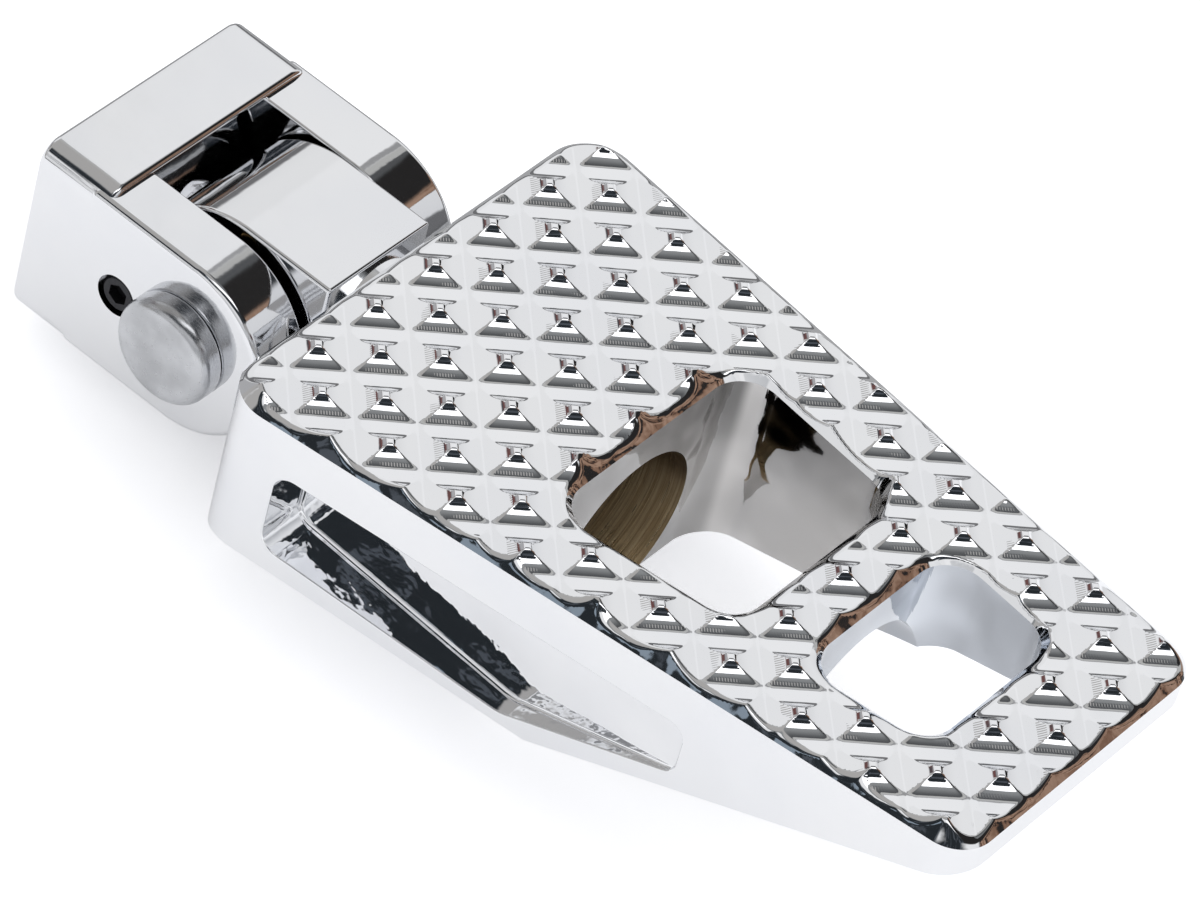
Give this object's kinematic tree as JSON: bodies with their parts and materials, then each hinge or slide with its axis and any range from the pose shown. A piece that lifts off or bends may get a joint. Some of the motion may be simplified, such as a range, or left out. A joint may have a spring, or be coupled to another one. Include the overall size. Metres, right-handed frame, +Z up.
{
  "type": "foot peg",
  "caption": "Folding foot peg: tapered platform with a raised pyramid tread, windows and side pockets, bolted to an adjustable male mount that pivots in a clevis.",
  "frame": {"origin": "centre of the bracket screw's threaded hole, in the clevis's flat rear face", "axes": "+X along the screw and the long bore towards the peg's tip, +Y fore and aft along the pivot pin, +Z up when the peg is folded down"},
  "size_m": [0.1465, 0.0658, 0.0332],
  "materials": {
    "chrome_body": "mirror chrome plate, bare brown metal in the bore",
    "chrome_mount": "polished chrome plate",
    "bronze": "turned bearing bronze",
    "zinc_steel": "bright zinc plated",
    "black_steel": "black oxide"
  },
  "bodies": {
    "clevis": {"clevis": "chrome_mount", "clevis_dowel": "zinc_steel", "detent_screw": "black_steel", "detent_spring": "zinc_steel", "wave_washer": "zinc_steel"},
    "mount": {"male_mount": "chrome_mount", "pivot_bush": "bronze", "index_pin": "zinc_steel", "thrust_washer": "bronze"},
    "peg": {"peg_body": "chrome_body", "bolt_flat_washer": "zinc_steel"},
    "bolt": {"mount_bolt": "black_steel", "bolt_lock_washer": "black_steel"},
    "pin": {"pivot_pin": "zinc_steel", "retaining_clip": "black_steel"},
    "ball": {"detent_ball": "zinc_steel"}
  },
  "joints": [
    {"name": "fold", "type": "hinge", "parent": "clevis", "child": "mount", "pos_m": [0.0245, 0, 0], "axis": [0, -1, 0], "range_deg": [0, 90]},
    {"name": "angle_adjust", "type": "hinge", "parent": "mount", "child": "peg", "pos_m": [0.041, 0, 0], "axis": [1, 0, 0], "range_deg": [-15, 15]},
    {"name": "bolt_spin", "type": "hinge", "parent": "peg", "child": "bolt", "pos_m": [0.0545, 0, 0], "axis": [1, 0, 0], "continuous": true},
    {"name": "pin_spin", "type": "hinge", "parent": "clevis", "child": "pin", "pos_m": [0.0245, 0, 0], "axis": [0, 1, 0], "continuous": true},
    {"name": "ball_click", "type": "slide", "parent": "clevis", "child": "ball", "axis": [0, 1, 0], "range_m": [0, 0.0005]}
  ]
}
